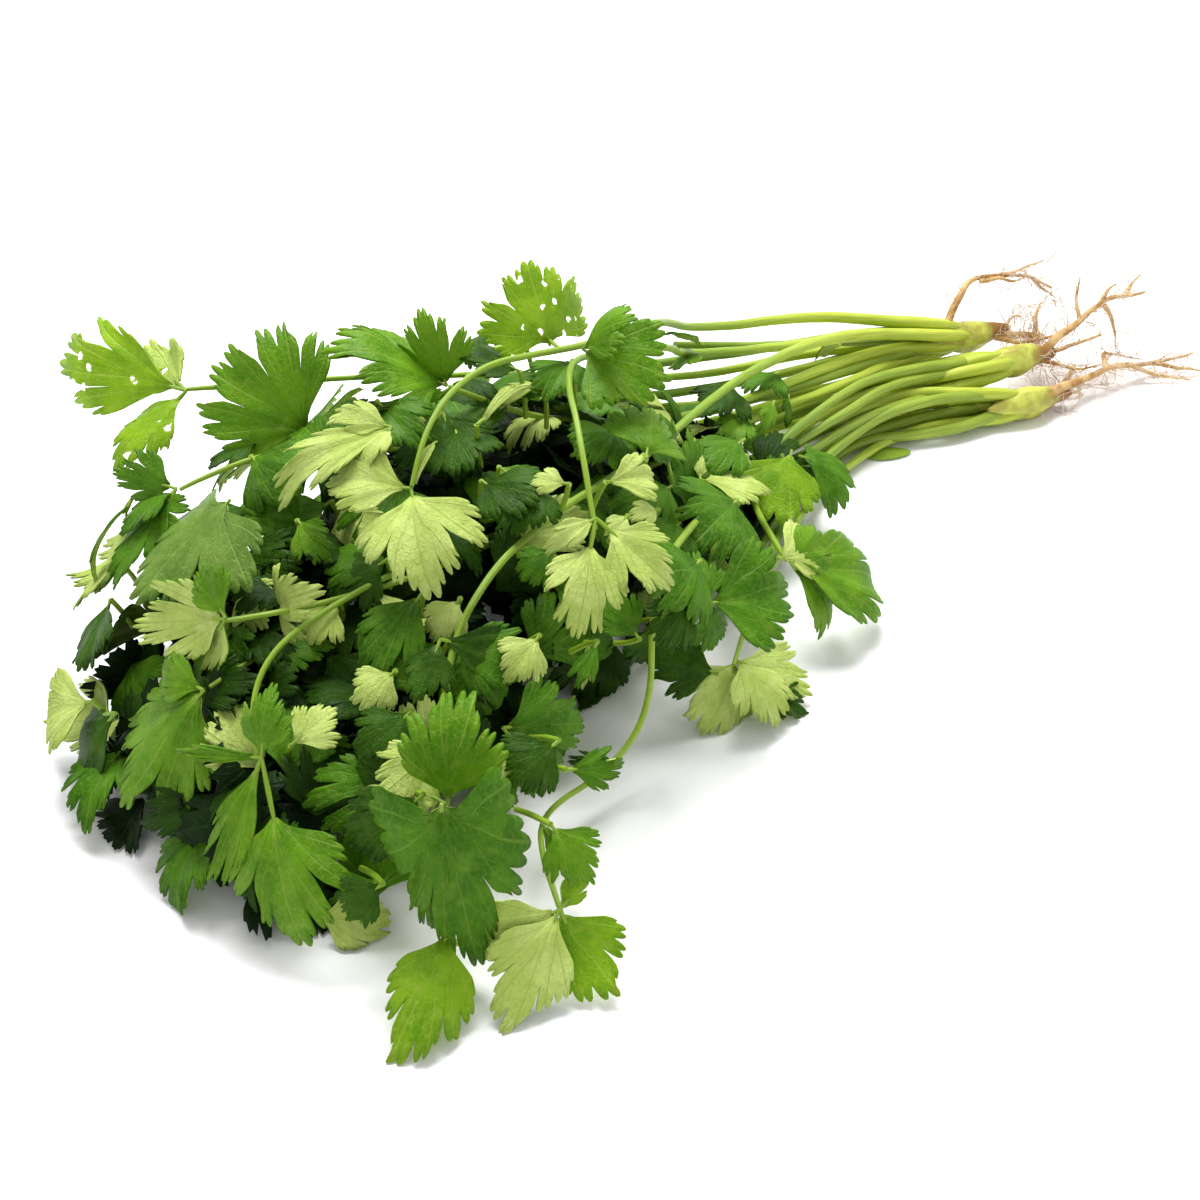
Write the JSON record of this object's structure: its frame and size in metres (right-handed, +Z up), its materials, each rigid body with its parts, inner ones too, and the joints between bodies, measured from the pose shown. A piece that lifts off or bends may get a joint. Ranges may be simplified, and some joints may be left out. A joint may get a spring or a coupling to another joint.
{
  "type": "coriander bunch",
  "caption": "Bunch of fresh coriander plants with their roots, lying on its side: long green stalks fan out from root crowns into a low heap of lobed, toothed leaves.",
  "frame": {"origin": "on the surface the bunch lies on, under the middle of its bounding box", "axes": "+X along the bunch from the leaf tips towards the roots; +Z up from the surface; +Y completes a right-handed frame"},
  "size_m": [0.3634, 0.1802, 0.0832],
  "materials": {
    "leaf_green": "satin green leaf, paler and matt underneath, with veins",
    "leaf_pale": "matt pale yellow-green leaf underside with fine veins",
    "stalk_green": "satin ribbed green stalk, yellower towards the crown",
    "crown_green": "matt yellow-green crown, brown at the root end",
    "root_tan": "matt tan root with fine creases"
  },
  "bodies": {
    "root": {"crown_1": "crown_green", "crown_2": "crown_green", "crown_3": "crown_green", "leaf_01": "leaf_green", "leaf_02": "leaf_green", "leaf_03": "leaf_green", "leaf_04": "leaf_green", "leaf_05": "leaf_green", "leaf_06": "leaf_pale", "leaf_07": "leaf_pale", "leaf_08": "leaf_green", "leaf_09": "leaf_green", "leaf_10": "leaf_green", "leaf_11": "leaf_pale", "leaf_12": "leaf_green", "leaf_13": "leaf_green", "leaf_14": "leaf_pale", "leaf_15": "leaf_green", "leaf_16": "leaf_pale", "leaf_17": "leaf_green", "leaf_18": "leaf_green", "leaf_19": "leaf_green", "leaf_20": "leaf_green", "leaf_21": "leaf_pale", "leaf_22": "leaf_green", "leaf_23": "leaf_green", "leaf_24": "leaf_green", "leaf_25": "leaf_green", "leaf_26": "leaf_pale", "leaf_27": "leaf_green", "leaf_28": "leaf_green", "leaf_29": "leaf_green", "leaf_30": "leaf_green", "leaf_31": "leaf_green", "leaf_32": "leaf_green", "root_1": "root_tan", "root_2": "root_tan", "root_3": "root_tan", "root_4": "root_tan", "root_5": "root_tan", "root_6": "root_tan", "seed_leaf": "leaf_green", "stalk_01": "stalk_green", "stalk_02": "stalk_green", "stalk_03": "stalk_green", "stalk_04": "stalk_green", "stalk_05": "stalk_green", "stalk_06": "stalk_green", "stalk_07": "stalk_green", "stalk_08": "stalk_green", "stalk_09": "stalk_green", "stalk_10": "stalk_green", "stalk_11": "stalk_green", "stalk_12": "stalk_green", "stalk_13": "stalk_green", "stalk_14": "stalk_green", "stalk_15": "stalk_green", "stalk_16": "stalk_green", "stalk_17": "stalk_green", "stalk_18": "stalk_green"}
  },
  "joints": []
}
